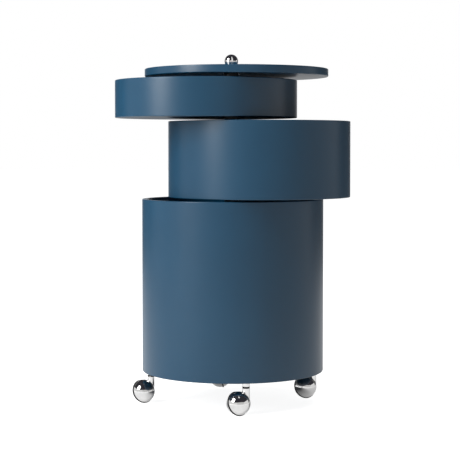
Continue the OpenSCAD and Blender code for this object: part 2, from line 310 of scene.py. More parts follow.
FINISHES = {
    Slot.LACQUER: Finish.lacquer(
        "petrol_lacquer", colour=(0.0033, 0.052, 0.109), worn=(0.0038, 0.058, 0.12),
        gloss=0.33, specular=0.54, peel=0.012, size=2.2),
    # Lacquer of the drum floors: a copy of the outer lacquer whose darker colour is painted shade for
    # the inside of the drums.
    Slot.INNER_LACQUER: Finish.lacquer(
        "inner_lacquer_painted_shade", colour=(0.003, 0.032, 0.068), worn=(0.004, 0.037, 0.077),
        gloss=0.46, specular=0.25, peel=0.02, size=1.6),
    Slot.CHROME: Finish.metal(
        "bright_chrome", colour=(0.77, 0.765, 0.76), dulling=0.93, clouds=SMUDGES,
        gloss=(0.03, 0.08), marks=POLISH, relief=RIPPLES, depth=0.006),
    Slot.ZINC_STEEL: Finish.metal(
        "zinc_plate", colour=(0.62, 0.63, 0.66), dulling=0.72, clouds=CRYSTALS,
        gloss=(0.28, 0.42), marks=WEATHER, relief=FROST, depth=0.01),
    Slot.AXLE_STEEL: Finish.turned(
        "ground_steel", colour=(0.66, 0.66, 0.67), gloss=(0.14, 0.3), rings=1800.0, depth=0.004),
    Slot.LID_METAL: Finish.turned(
        "turned_aluminium", colour=(0.7, 0.71, 0.72), gloss=(0.22, 0.38), rings=1400.0, depth=0.006),
    Slot.BLACK_STEEL: Finish.moulded(
        "black_enamel", colour=(0.012, 0.013, 0.015), worn=(0.022, 0.023, 0.025),
        gloss=(0.3, 0.42), depth=0.01, size=1.1),
    Slot.BLACK_NYLON: Finish.moulded(
        "black_nylon", colour=(0.004, 0.004, 0.005), worn=(0.009, 0.009, 0.01),
        gloss=(0.42, 0.55), depth=0.012, size=0.5, specular=0.2),
    Slot.WHITE_NYLON: Finish.moulded(
        "natural_nylon", colour=(0.72, 0.69, 0.6), worn=(0.62, 0.59, 0.5),
        gloss=(0.4, 0.5), depth=0.012, size=0.7),
    Slot.TREAD_RUBBER: Finish.moulded(
        "tread_rubber", colour=(0.014, 0.014, 0.015), worn=(0.035, 0.034, 0.033),
        gloss=(0.55, 0.75), depth=0.03, size=0.45, specular=0.3),
}


class Finishes:
    """The finishes of the cabinet, one material for each slot."""

    def __init__(self) -> None:
        """Builds every material once."""
        self.by_slot = {slot: finish.make() for slot, finish in FINISHES.items()}

    def dress(self, piece: bpy.types.Object, slot: Slot) -> None:
        """Gives a piece the material of a slot.

        Args:
            piece: Mesh object to dress.
            slot: Slot of the record.
        """
        piece.data.materials.clear()
        piece.data.materials.append(self.by_slot[slot])


# Modelling


def take(piece: bpy.types.Object) -> None:
    """Makes a piece the active one, and the only one that is selected.

    Args:
        piece: The piece.
    """
    Bench.clear()
    piece.select_set(True)
    bpy.context.view_layer.objects.active = piece


def settle(piece: bpy.types.Object) -> None:
    """Puts an object's place into its mesh, so that the object sits at the origin."""
    take(piece)
    bpy.ops.object.transform_apply(location=True, rotation=True, scale=True)


class Bench:
    """One mesh on the bench, with the moves that shape it."""

    SMOOTH_BELOW = 32.0
    FACE_WEIGHT = 75
    axis = ORIGIN

    def __init__(self, name: str) -> None:
        """Takes the primitive that was just added.

        Args:
            name: Name that the piece gets.
        """
        self.obj = bpy.context.view_layer.objects.active
        self.obj.name = name
        self.obj.data.name = name
        settle(self.obj)

    @staticmethod
    def clear() -> None:
        """Deselects everything."""
        bpy.ops.object.select_all(action="DESELECT")

    @classmethod
    def section(cls, name: str, across: tuple[float, float], up: tuple[float, float],
                axis: Vector = ORIGIN) -> "Bench":
        """Adds an upright plane to the right of an axis, as the section of a turned piece.

        Args:
            name: Name of the piece.
            across: Nearest and farthest distance from the axis.
            up: Lowest and highest level.
            axis: Point on the axis.

        Returns:
            The bench with the plane on it.
        """
        cls.clear()
        middle = Vector((axis.x + sum(across) / 2, axis.y, sum(up) / 2)) * MM
        bpy.ops.mesh.primitive_plane_add(size=1.0, location=middle,
                                         rotation=(math.radians(90), 0.0, 0.0))
        bench = cls(name)
        bench.axis = axis
        bench.edit()
        bench.pick(Pick.VERTS, lambda _: True)
        bpy.ops.transform.resize(value=((across[1] - across[0]) * MM, 1.0, (up[1] - up[0]) * MM),
                                 center_override=middle)
        return bench

    @classmethod
    def disc_section(cls, name: str, radius: float) -> "Bench":
        """Adds an upright disc round the origin, as the section of a turned ball.

        Args:
            name: Name of the piece.
            radius: Radius of the disc.

        Returns:
            The bench with the disc on it.
        """
        cls.clear()
        bpy.ops.mesh.primitive_circle_add(vertices=LARGE_SIDES, radius=radius * MM, fill_type="NGON",
                                          rotation=(math.radians(90), 0.0, 0.0))
        bench = cls(name)
        bench.edit()
        bench.trim(ORIGIN, Vector((-1.0, 0.0, 0.0)))
        return bench

    @classmethod
    def cylinder(cls, name: str, centre: Vector, radius: float, up: tuple[float, float],
                 sides: int = SMALL_SIDES) -> "Bench":
        """Adds a closed upright cylinder.

        Args:
            name: Name of the piece.
            centre: Centre of the cylinder's foot, of which X and Y are used.
            radius: Radius of the cylinder.
            up: Levels of its foot and top.
            sides: Number of sides.

        Returns:
            The bench with the cylinder on it.
        """
        cls.clear()
        bpy.ops.mesh.primitive_cylinder_add(
            vertices=sides, radius=radius * MM, depth=(up[1] - up[0]) * MM, end_fill_type="NGON",
            location=Vector((centre.x, centre.y, sum(up) / 2)) * MM)
        return cls(name)

    @classmethod
    def drill(cls, centre: Vector, radius: float, up: tuple[float, float],
              sides: int = BORE_SIDES) -> "Bench":
        """Adds a tool that cuts right through what lies between two levels."""
        return cls.cylinder("bore", centre, radius, (up[0] - OVER, up[1] + OVER), sides)

    @classmethod
    def ball(cls, name: str, centre: Vector, radius: float) -> "Bench":
        """Adds a ball with its poles up and down.

        Args:
            name: Name of the piece.
            centre: Centre of the ball.
            radius: Radius of the ball.

        Returns:
            The bench with the ball on it.
        """
        cls.clear()
        bpy.ops.mesh.primitive_uv_sphere_add(segments=ROUND_SIDES, ring_count=SMALL_SIDES,
                                             radius=radius * MM, location=centre * MM)
        return cls(name)

    def edit(self) -> None:
        """Opens the mesh in edit mode."""
        take(self.obj)
        bpy.ops.object.mode_set(mode="EDIT")

    def done(self) -> None:
        """Closes edit mode."""
        bpy.ops.object.mode_set(mode="OBJECT")

    def pick(self, kind: Pick, test: Callable[[Vector], bool]) -> None:
        """Selects the parts whose middle, in millimetres, passes a test.

        Args:
            kind: Vertices, edges or faces.
            test: Test of a part's middle.
        """
        bpy.ops.mesh.select_mode(type=kind.value)
        bpy.ops.mesh.select_all(action="DESELECT")
        mesh = bmesh.from_edit_mesh(self.obj.data)
        parts, middle = {
            Pick.VERTS: (mesh.verts, lambda part: part.co),
            Pick.EDGES: (mesh.edges, lambda part: (part.verts[0].co + part.verts[1].co) / 2),
            Pick.FACES: (mesh.faces, lambda part: part.calc_center_median()),
        }[kind]
        for part in parts:
            if test(middle(part) / MM):
                part.select_set(True)
        mesh.select_flush_mode()
        bmesh.update_edit_mesh(self.obj.data)

    def ease(self, radius: float, steps: int, kind: Pick, test: Callable[[Vector], bool]) -> None:
        """Rounds corners or edges.

        Args:
            radius: Radius of the round.
            steps: Number of steps in it.
            kind: Vertices of a section, or edges of a solid.
            test: Test of their middles.
        """
        self.pick(kind, test)
        bpy.ops.mesh.bevel(offset=radius * MM, segments=steps, profile=0.5,
                           affect="VERTICES" if kind is Pick.VERTS else "EDGES")

    def soften(self, radius: float, steps: int, test: Callable[[Vector], bool]) -> None:
        """Rounds edges of a solid that isn't open in edit mode.

        Args:
            radius: Radius of the round.
            steps: Number of steps in it.
            test: Test of the edges' middles.
        """
        self.edit()
        self.ease(radius, steps, Pick.EDGES, test)
        self.done()

    def notch(self, across: tuple[float, float], up: tuple[float, float]) -> None:
        """Takes a rectangle out of a section.

        Args:
            across: Nearest and farthest distance from the axis.
            up: Lowest and highest level.
        """
        for reach in across:
            bpy.ops.mesh.select_all(action="SELECT")
            bpy.ops.mesh.bisect(plane_co=(self.axis + Vector((reach, 0.0, 0.0))) * MM,
                                plane_no=(1.0, 0.0, 0.0))
        for level in up:
            bpy.ops.mesh.select_all(action="SELECT")
            bpy.ops.mesh.bisect(plane_co=UP * (level * MM), plane_no=UP)
        near, far = across[0] + self.axis.x, across[1] + self.axis.x
        self.pick(Pick.FACES, lambda p: near < p.x < far and up[0] < p.z < up[1])
        bpy.ops.mesh.delete(type="FACE")
        bpy.ops.mesh.select_all(action="SELECT")
        bpy.ops.mesh.dissolve_faces(use_verts=True)

    def trim(self, point: Vector, normal: Vector, closed: bool = False) -> None:
        """Cuts away what lies beyond a plane."""
        bpy.ops.mesh.select_all(action="SELECT")
        bpy.ops.mesh.bisect(plane_co=point * MM, plane_no=normal, clear_outer=True, use_fill=closed)

    def turn(self, steps: int = RIM_SIDES) -> None:
        """Turns the section right round its axis into a closed skin.

        Args:
            steps: Number of steps round it.
        """
        bpy.ops.mesh.select_all(action="SELECT")
        bpy.ops.mesh.delete(type="ONLY_FACE")
        self.pick(Pick.EDGES, lambda p: abs(p.x - self.axis.x) < CLOSE)
        bpy.ops.mesh.delete(type="EDGE")
        bpy.ops.mesh.select_all(action="SELECT")
        bpy.ops.mesh.spin(steps=steps, angle=math.tau, center=self.axis * MM, axis=UP)
        bpy.ops.mesh.select_all(action="SELECT")
        bpy.ops.mesh.remove_doubles(threshold=CLOSE * MM)
        bpy.ops.mesh.normals_make_consistent(inside=False)
        self.done()

    def shift(self, place: Matrix) -> None:
        """Moves and turns the piece, and keeps its object at the origin."""
        self.obj.matrix_world = place
        settle(self.obj)

    def cut(self, *tools: "Bench") -> None:
        """Cuts tools out of the piece, and clears them away."""
        self.combine("DIFFERENCE", *tools)

    def combine(self, how: str, *tools: "Bench") -> None:
        """Joins tools to the piece or cuts them from it, and clears them away.

        Args:
            how: Blender's name of the boolean operation.
            *tools: Solids to use.
        """
        for tool in tools:
            settle(self.obj)
            modifier = self.obj.modifiers.new("combine", "BOOLEAN")
            modifier.operation = how
            modifier.solver = "EXACT"
            modifier.object = tool.obj
            bpy.ops.object.modifier_apply(modifier=modifier.name)
            bpy.data.objects.remove(tool.obj, do_unlink=True)

    def polish(self) -> bpy.types.Object:
        """Shades the piece smooth, with flat faces kept flat and sharp edges kept sharp.

        Returns:
            The finished object.
        """
        settle(self.obj)
        bpy.ops.object.shade_smooth_by_angle(angle=math.radians(self.SMOOTH_BELOW),
                                             keep_sharp_edges=False)
        modifier = self.obj.modifiers.new("weights", "WEIGHTED_NORMAL")
        modifier.keep_sharp = True
        modifier.weight = self.FACE_WEIGHT
        bpy.ops.object.modifier_apply(modifier=modifier.name)
        return self.obj

    def copies(self, names: Sequence[str], places: Sequence[Matrix]) -> list[bpy.types.Object]:
        """Finishes the piece, copies it with a mesh for each copy, and clears the pattern away.

        Args:
            names: Names of the copies.
            places: Where each copy goes.

        Returns:
            The copies.
        """
        self.polish()
        made = []
        for name, place in zip(names, places):
            take(self.obj)
            bpy.ops.object.duplicate(linked=False)
            copy = bpy.context.view_layer.objects.active
            copy.name = name
            copy.data.name = name
            copy.matrix_world = place
            settle(copy)
            made.append(copy)
        bpy.data.objects.remove(self.obj, do_unlink=True)
        return made


def joined(name: str, parts: Sequence[bpy.types.Object]) -> bpy.types.Object:
    """Joins parts into one object.

    Args:
        name: Name of the joined object.
        parts: Mesh objects.

    Returns:
        The joined object.
    """
    Bench.clear()
    for part in parts:
        part.select_set(True)
    bpy.context.view_layer.objects.active = parts[0]
    bpy.ops.object.join()
    parts[0].name = name
    parts[0].data.name = name
    return parts[0]


def about_axle(degrees: float) -> Matrix:
    """Turn round the axle."""
    there = Matrix.Translation(AXLE * MM)
    return there @ Matrix.Rotation(math.radians(degrees), 4, "Z") @ there.inverted()


@dataclass
class Shop:
    """Where pieces are finished: it dresses them, turns them and puts them on their bodies."""

    finishes: Finishes
    made: int = 0

    def hand_over(self, piece: bpy.types.Object, slot: Slot, body: Body | str,
                  stands_for: Sequence[str], turn: float = 0.0) -> None:
        """Dresses a piece and puts it in its place on a body.

        Args:
            piece: Finished mesh object.
            slot: Its finish.
            body: Body that it rides on, or the name of a caster's body.
            stands_for: CAD nodes that it stands for.
            turn: Turn round the axle, in degrees.
        """
        if turn:
            piece.matrix_world = about_axle(turn)
            settle(piece)
        self.finishes.dress(piece, slot)
        if isinstance(body, Body):
            body = body.value
        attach(piece, body)
        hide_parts(*stands_for)
        self.made += 1
        LOG.info("%s: %s on %s, %d faces", piece.name, slot.value, body, len(piece.data.polygons))


# Sub-assemblies


def tube(name: str, radii: tuple[float, float], up: tuple[float, float],
         round_r: float) -> bpy.types.Object:
    """Turns a tube with eased edges round the axle.

    Args:
        name: Name of the tube.
        radii: Inner and outer radius.
        up: Levels of its ends.
        round_r: Radius of the eased edges.

    Returns:
        The finished tube.
    """
    bench = Bench.section(name, radii, up, AXLE)
    bench.ease(round_r, ROUND_STEPS, Pick.VERTS, lambda _: True)
    bench.turn(ROUND_SIDES)
    return bench.polish()


def obround(name: str, radius: float, length: float, up: tuple[float, float]) -> Bench:
    """Makes a long plate with round ends, one of them round the axle.

    Args:
        name: Name of the plate.
        radius: Radius of the ends.
        length: Distance between the ends' centres.
        up: Levels of its faces.

    Returns:
        The bench with the plate on it, open in edit mode.
    """
    bench = Bench.cylinder(name, AXLE, radius, up, ROUND_SIDES)
    bench.edit()
    bpy.ops.mesh.select_all(action="SELECT")
    bpy.ops.transform.rotate(value=math.pi / ROUND_SIDES, orient_axis="Z", center_override=AXLE * MM)
    bench.pick(Pick.VERTS, lambda p: p.y > AXLE.y)
    bpy.ops.transform.translate(value=(0.0, length * MM, 0.0))
    return bench


@dataclass
class ScrewSet:
    """Four button screws with hexagon sockets, modelled once and copied."""

    row: float = 10.0
    near: float = 24.0
    far: float = 52.0
    shank_r: float = 2.0
    head_r: float = 3.8
    head_h: float = 2.2
    reach: float = 13.0
    socket_r: float = 1.6
    socket_d: float = 1.2
    head_round: float = 0.9
    head_steps: int = 4

    def places(self) -> list[Vector]:
        """Centres of the four screws beside the axle."""
        return [AXLE + Vector((x, y, 0.0))
                for x in (-self.row, self.row) for y in (self.near, self.far)]

    def build(self, name: str, level: float, turned_over: bool = False) -> bpy.types.Object:
        """Models one screw and sets four of them.

        Args:
            name: Name of the set.
            level: Level that the heads stand on.
            turned_over: Whether the heads point down.

        Returns:
            The finished set.
        """
        bench = Bench.cylinder(name, ORIGIN, self.head_r, (0.0, self.head_h), BORE_SIDES)
        bench.edit()
        bench.ease(self.head_round, self.head_steps, Pick.EDGES, lambda p: p.z > self.head_h - CLOSE)
        bench.pick(Pick.FACES, lambda p: p.z < CLOSE)
        bpy.ops.mesh.inset(thickness=(self.head_r - self.shank_r) * MM)
        bpy.ops.mesh.extrude_region_move(TRANSFORM_OT_translate={"value": DOWN * (self.reach * MM)})
        bench.done()
        bench.cut(Bench.cylinder("socket", ORIGIN, self.socket_r,
                                 (self.head_h - self.socket_d, self.head_h + OVER), HEX_SIDES))
        over = Matrix.Rotation(math.pi if turned_over else 0.0, 4, "X")
        spots = [Matrix.Translation((spot + UP * level) * MM) @ over for spot in self.places()]
        return joined(name, bench.copies([f"{name}_{i}" for i in range(len(spots))], spots))

    def holes(self, low: float, high: float) -> list[Bench]:
        """Makes the tools that drill the four holes.

        Args:
            low: Level that they reach down to.
            high: Level that they start from.

        Returns:
            The tools.
        """
        radius = self.shank_r + SEAT
        return [Bench.cylinder("drill", spot, radius, (low, high), DRILL_SIDES)
                for spot in self.places()]


@dataclass
class Drum:
    """Open drum: a bent wall, and a floor let into a rebate at its foot."""

    shop: Shop
    name: str
    body: Body
    foot: float
    height: float
    floor_t: float
    turn: float = 0.0
    outer_r: float = 190.0
    wall_t: float = 10.0
    rebate: float = 4.0
    rim_round: float = 1.6
    rim_steps: int = 6
    floor_round: float = 0.4
    pilot_d: float = 10.0
    screws: ScrewSet = field(default_factory=ScrewSet)

    @property
    def top(self) -> float:
        """Level of the rim."""
        return self.foot + self.height

    @property
    def inner_r(self) -> float:
        """Inner radius of the wall."""
        return self.outer_r - self.wall_t

    @property
    def floor_r(self) -> float:
        """Radius of the floor."""
        return self.inner_r + self.rebate

    @property
    def floor_top(self) -> float:
        """Level of the floor's upper face."""
        return self.foot + self.floor_t

    def build_wall(self) -> None:
        """Turns the wall from its section."""
        bench = Bench.section(f"{self.name}_shell", (self.inner_r, self.outer_r), (self.foot, self.top))
        bench.notch((self.inner_r - OVER, self.floor_r + SEAT),
                    (self.foot - OVER, self.floor_top + SEAT))
        bench.ease(self.rim_round, self.rim_steps, Pick.VERTS,
                   lambda p: p.z > self.top - CLOSE or p.x > self.outer_r - CLOSE)
        bench.turn()
        self.shop.hand_over(bench.polish(), Slot.LACQUER, self.body, [f"{self.name}_wall"], self.turn)

    def build_floor(self, tools: Sequence[Bench]) -> None:
        """Cuts the floor and drills it.

        Args:
            tools: What is cut out of it besides the pilot holes.
        """
        bench = Bench.cylinder(f"{self.name}_panel", ORIGIN, self.floor_r, (self.foot, self.floor_top),
                               RIM_SIDES)
        bench.soften(self.floor_round, EDGE_STEPS,
                     lambda p: min(abs(p.z - self.foot), abs(p.z - self.floor_top)) < CLOSE)
        bench.cut(*tools, *self.screws.holes(self.floor_top - self.pilot_d, self.floor_top + OVER))
        # The floor takes the inner lacquer, whose darker colour is painted shade.
        self.shop.hand_over(bench.polish(), Slot.INNER_LACQUER, self.body, [f"{self.name}_floor"],
                            self.turn)


@dataclass
class Hub:
    """Plate with four screws, and a tube that stands through it round the axle."""

    shop: Shop
    tube_r: float = 14.0
    bore_r: float = 8.08
    bush_r: float = 9.58
    bush_l: float = 22.0
    plate_r: float = 18.0
    plate_l: float = 48.0
    plate_t: float = 4.0
    plate_round: float = 0.5
    sleeve_round: float = 0.6
    bush_round: float = 0.2
    screws: ScrewSet = field(default_factory=ScrewSet)

    def build_plate(self, name: str, nodes: tuple[str, str], body: Body, level: float,
                    turn: float = 0.0) -> None:
        """Makes the plate and sets its screws.

        Args:
            name: What the plate belongs to.
            nodes: CAD nodes of the plate and of the screws.
            body: Body that they ride on.
            level: Level of the plate's underside.
            turn: Turn round the axle, in degrees.
        """
        upper = level + self.plate_t
        bench = obround(f"{name}_flange", self.plate_r, self.plate_l, (level, upper))
        bench.ease(self.plate_round, EDGE_STEPS, Pick.EDGES, lambda p: abs(p.z - upper) < CLOSE)
        bench.done()
        bore = Bench.drill(AXLE, self.tube_r + SEAT, (level, upper), ROUND_SIDES)
        bench.cut(bore, *self.screws.holes(level - OVER, upper + OVER))
        self.shop.hand_over(bench.polish(), Slot.ZINC_STEEL, body, [nodes[0]], turn)
        screws = self.screws.build(f"{name}_screw_set", upper)
        self.shop.hand_over(screws, Slot.ZINC_STEEL, body, [nodes[1]], turn)

    def build_sleeve(self, drum: Drum) -> None:
        """Makes a drum's sleeve and the bushes at its ends.

        Args:
            drum: Drum that they belong to.
        """
        sleeve = tube(f"{drum.name}_hub_sleeve", (self.bush_r + SEAT, self.tube_r),
                      (drum.foot, drum.top), self.sleeve_round)
        self.shop.hand_over(sleeve, Slot.BLACK_STEEL, drum.body, [f"{drum.name}_sleeve"], drum.turn)
        ends = ((drum.foot, drum.foot + self.bush_l), (drum.top - self.bush_l, drum.top))
        bushes = [tube(f"{drum.name}_bush_{i}", (self.bore_r, self.bush_r), up, self.bush_round)
                  for i, up in enumerate(ends)]
        self.shop.hand_over(joined(f"{drum.name}_bush_pair", bushes), Slot.WHITE_NYLON, drum.body,
                            [f"{drum.name}_bushes"], drum.turn)


@dataclass
class Lid:
    """Round lid with an eased edge, and a hub let into its underside."""

    shop: Shop
    hub: Hub
    foot: float = 680.0
    thick: float = 16.0
    radius: float = 192.0
    edge_round: float = 2.0
    edge_steps: int = 7
    flange_t: float = 3.0
    flange_round: float = 0.4
    neck_sunk: float = 2.0
    turn: float = -2.8

    def build_panel(self) -> None:
        """Turns the panel and cuts the seat of the hub into it."""
        hub, top = self.hub, self.foot + self.thick
        bench = Bench.section("lid_disc", (0.0, self.radius), (self.foot, top))
        bench.ease(self.edge_round, self.edge_steps, Pick.VERTS, lambda p: p.x > self.radius - CLOSE)
        bench.turn()
        recess = obround("recess", hub.plate_r + SEAT, hub.plate_l,
                         (self.foot - OVER, self.foot + self.flange_t + SEAT))
        recess.done()
        bore = Bench.drill(AXLE, hub.tube_r + SEAT, (self.foot, top), ROUND_SIDES)
        bench.cut(bore, recess, *hub.screws.holes(self.foot - OVER, self.foot + hub.screws.reach))
        self.shop.hand_over(bench.polish(), Slot.LACQUER, Body.LID, ["lid_panel"], self.turn)

    def build_hub(self) -> None:
        """Makes the hub, its bush and its screws."""
        hub, top = self.hub, self.foot + self.thick
        bench = obround("lid_boss", hub.plate_r, hub.plate_l, (self.foot, self.foot + self.flange_t))
        bench.ease(self.flange_round, EDGE_STEPS, Pick.EDGES, lambda p: abs(p.z - self.foot) < CLOSE)
        bench.done()
        neck = Bench.cylinder("neck", AXLE, hub.tube_r,
                              (self.foot + self.flange_t - self.neck_sunk, top), ROUND_SIDES)
        neck.soften(self.flange_round, EDGE_STEPS, lambda p: p.z > top - CLOSE)
        bench.combine("UNION", neck)
        bore = Bench.drill(AXLE, hub.bush_r + SEAT, (self.foot, top), ROUND_SIDES)
        bench.cut(bore, *hub.screws.holes(self.foot - OVER, self.foot + hub.plate_t))
        self.shop.hand_over(bench.polish(), Slot.LID_METAL, Body.LID, ["lid_hub"], self.turn)
        bush = tube("lid_liner", (hub.bore_r, hub.bush_r), (self.foot, top), hub.bush_round)
        self.shop.hand_over(bush, Slot.WHITE_NYLON, Body.LID, ["lid_bush"], self.turn)
        screws = hub.screws.build("lid_screw_set", self.foot, True)
        self.shop.hand_over(screws, Slot.ZINC_STEEL, Body.LID, ["lid_screws"], self.turn)


@dataclass
class Axle:
    """Axle that carries the drums and the lid, with its column, spacers, nut and knob."""

    shop: Shop
    foot: float = 83.0
    top: float = 696.1
    radius: float = 8.0
    bore_r: float = 8.08
    thread_r: float = 4.0
    nut_foot: float = 65.5
    nut_h: float = 6.5
    nut_r: float = 8.0
    washer_r: float = 10.0
    washer_t: float = 2.0
    washer_room: float = 1.0
    thread_round: float = 0.5
    washer_round: float = 0.3
    column_round: float = 0.6
    spacer_round: float = 0.5
    knob_round: float = 0.35
    knob_r: float = 13.5
    knob_lift: float = 7.0
    knob_thread: float = 9.0

    def build_rod(self) -> None:
        """Makes the rod with its threaded ends."""
        bench = Bench.cylinder("axle_bar", AXLE, self.radius, (self.foot, self.top), ROUND_SIDES)
        bench.edit()
        for level, by in ((self.foot, self.nut_foot - self.foot), (self.top, self.knob_thread)):
            bench.pick(Pick.FACES, lambda p: abs(p.z - level) < CLOSE)
            bpy.ops.mesh.inset(thickness=(self.radius - self.thread_r) * MM)
            bpy.ops.mesh.extrude_region_move(TRANSFORM_OT_translate={"value": UP * (by * MM)})
            bench.ease(self.thread_round, EDGE_STEPS, Pick.EDGES,
                       lambda p: abs(p.z - level - by) < CLOSE)
        bench.done()
        self.shop.hand_over(bench.polish(), Slot.AXLE_STEEL, Body.CABINET, ["axle_rod"])

    def build_foot(self) -> None:
        """Makes the washer and the nut under the floor."""
        upper = self.nut_foot + self.nut_h
        washer = tube("axle_flat_washer", (self.thread_r + SEAT, self.washer_r),
                      (upper, upper + self.washer_t), self.washer_round)
        self.shop.hand_over(washer, Slot.ZINC_STEEL, Body.CABINET, ["axle_washer"])
        bench = Bench.cylinder("axle_hex_nut", AXLE, self.nut_r, (self.nut_foot, upper), HEX_SIDES)
        bench.soften(self.thread_round, EDGE_STEPS, lambda _: True)
        bench.cut(Bench.drill(AXLE, self.thread_r + SEAT, (self.nut_foot, upper)))
        self.shop.hand_over(bench.polish(), Slot.ZINC_STEEL, Body.CABINET, ["axle_nut"])

    def build_column(self, top: float, radius: float) -> None:
        """Makes the column that stands on the base drum's floor."""
        column = tube("column_tube", (self.bore_r, radius), (self.foot, top), self.column_round)
        self.shop.hand_over(column, Slot.BLACK_STEEL, Body.CABINET, ["base_column"])

    def build_spacers(self, gaps: dict[str, tuple[float, float]], radius: float) -> None:
        """Makes the spacer rings.

        Args:
            gaps: Levels of each gap, by the ring's name.
            radius: Outer radius.
        """
        for name, (low, high) in gaps.items():
            ring = tube(f"{name}_ring", (self.bore_r, radius), (low + SLIDE, high - SLIDE),
                        self.spacer_round)
            self.shop.hand_over(ring, Slot.BLACK_NYLON, Body.CABINET, [f"{name}_spacer"])

    def build_knob(self) -> None:
        """Makes the ball with a flat foot."""
        foot = AXLE + UP * self.top
        bench = Bench.ball("ball_knob", foot + UP * self.knob_lift, self.knob_r)
        bench.edit()
        bench.trim(foot, DOWN, True)
        bench.ease(self.knob_round, ROUND_STEPS, Pick.EDGES, lambda p: p.z < self.top + CLOSE)
        bench.done()
        bench.cut(Bench.drill(AXLE, self.thread_r + SEAT, (self.top, self.top + self.knob_thread)))
        self.shop.hand_over(bench.polish(), Slot.CHROME, Body.CABINET, ["knob"])


@dataclass
class Casters:
    """Four ball casters: each a half ball that carries the stem, and a half ball that rolls."""

    shop: Shop
    names: tuple[str, ...] = ("front", "right", "back", "left")
    ring_r: float = 173.0
    ring_turn: float = -80.2
    turns: tuple[float, ...] = (40.0, 25.0, 100.0, 38.0)
    ball_r: float = 24.0
    wheel_r: float = 23.5
    proud: float = 1.0
    tread_w: float = 3.0
    lip: float = 0.3
    seam: float = 0.8
    tilt: float = 22.0
    trail: float = 16.0
    shift: float = 4.5
    neck_r: float = 7.35
    spindle_r: float = 4.0
    spindle_seat: float = 7.0
    spindle_short: float = 1.0
    washer_t: float = 2.9
    collar_h: float = 8.0
    socket_t: float = 1.5
    underside: float = 65.0
    floor_t: float = 18.0
    pin_r: float = 3.0
    pin_in_hood: float = 17.0
    pin_in_wheel: float = 14.0
    pin_round: float = 0.3
    stem_round: float = 0.6
    neck_round: float = 0.5
    seam_round: float = 0.4
    washer_round: float = 0.4
    bead_share: float = 0.995
    bead_steps: int = 10
    run: float = 0.08

    @property
    def tread_foot(self) -> float:
        """Distance from the ball's middle plane to the tread."""
        return self.seam / 2 + self.lip

    @property
    def ball_z(self) -> float:
        """Works out how high the ball's centre is when the tread stands on the floor.

        Returns:
            Its level.
        """
        bead = self.tread_w / 2
        lean = math.radians(self.tilt)
        return ((self.ball_r + self.proud - bead) * math.cos(lean)
                + (self.tread_foot + bead) * math.sin(lean) + bead)

    @property
    def collar_z(self) -> float:
        """Level of the collar's underside."""
        return self.underside - self.collar_h

    @property
    def washer_z(self) -> float:
        """Level of the swivel washer's underside."""
        return self.collar_z - SLIDE - self.washer_t

    def in_ball(self) -> Matrix:
        """Place of the ball's frame beside the stem: its Z points along the wheel's axle."""
        centre = Matrix.Translation(Vector((-self.trail, self.shift, self.ball_z)) * MM)
        return centre @ Matrix.Rotation(math.radians(-90.0 - self.tilt), 4, "X")

    def stems(self) -> list[Matrix]:
        """Finds the places of the stems, each turned as its caster stands.

        Returns:
            The places as matrices, in metres.
        """
        places = []
        for index, turn in enumerate(self.turns):
            around = math.radians(self.ring_turn + 360.0 / len(self.turns) * index)
            spot = Vector((math.cos(around), math.sin(around), 0.0)) * self.ring_r * MM
            places.append(Matrix.Translation(spot) @ Matrix.Rotation(math.radians(turn), 4, "Z"))
        return places

    def sockets(self) -> list[Bench]:
        """Makes the tools that bore the base floor for the four sockets.

        Returns:
            The tools.
        """
        reach = self.spindle_r + self.run + self.socket_t + SEAT
        through = (self.underside, self.underside + self.floor_t)
        return [Bench.drill(stem.to_translation() / MM, reach, through) for stem in self.stems()]

    def shape_socket(self) -> Bench:
        """Turns a socket: a collar under the drum, and a tube through the floor.

        Returns:
            The bench with the socket on it.
        """
        bore, top = self.spindle_r + self.run, self.underside + self.floor_t
        bench = Bench.section("socket", (bore, self.neck_r), (self.collar_z, top))
        bench.notch((bore + self.socket_t, self.neck_r + OVER), (self.underside, top + OVER))
        bench.ease(self.stem_round, ROUND_STEPS, Pick.VERTS,
                   lambda p: p.x > self.neck_r - CLOSE and p.z < self.underside - CLOSE)
        bench.turn(SMALL_SIDES)
        return bench

    def shape_hood(self) -> Bench:
        """Makes the half ball that carries the stem's neck.

        Returns:
            The bench with the hood on it.
        """
        place = self.in_ball()
        normal = (place.to_3x3() @ UP).normalized()
        centre = place.to_translation() / MM
        bench = Bench.ball("hood", ORIGIN, self.ball_r)
        bench.shift(place)
        neck = Bench.cylinder("neck", ORIGIN, self.neck_r, (self.ball_z, self.washer_z))
        neck.soften(self.neck_round, ROUND_STEPS, lambda p: p.z > self.washer_z - CLOSE)
        bench.combine("UNION", neck)
        seam = centre - normal * (self.seam / 2)
        bench.edit()
        bench.trim(seam, normal, True)
        bench.ease(self.seam_round, ROUND_STEPS, Pick.EDGES,
                   lambda p: abs((p - seam).dot(normal)) < CLOSE)
        bench.done()
        pin = Bench.cylinder("bore", ORIGIN, self.pin_r + SEAT, (-self.pin_in_hood, OVER), BORE_SIDES)
        pin.shift(place)
        stem = Bench.cylinder("bore", ORIGIN, self.spindle_r + SEAT,
                              (self.washer_z - self.spindle_seat, self.washer_z + OVER), BORE_SIDES)
        bench.cut(pin, stem)
        return bench

    def shape_wheel(self) -> Bench:
        """Turns the half ball that rolls, with its bore and the seat of its tread.

        Returns:
            The bench with the wheel on it.
        """
        bead = self.tread_w / 2
        inner = self.ball_r + self.proud - 2 * bead - SEAT
        bench = Bench.disc_section("wheel", self.wheel_r)
        bench.trim(UP * (self.seam / 2), DOWN)
        bench.notch((inner, self.ball_r + OVER), (self.tread_foot, self.tread_foot + self.tread_w))
        bench.notch((-OVER, self.pin_r + self.run), (self.seam / 2 - OVER, self.pin_in_wheel))
        bench.turn(ROUND_SIDES)
        bench.shift(self.in_ball())
        return bench

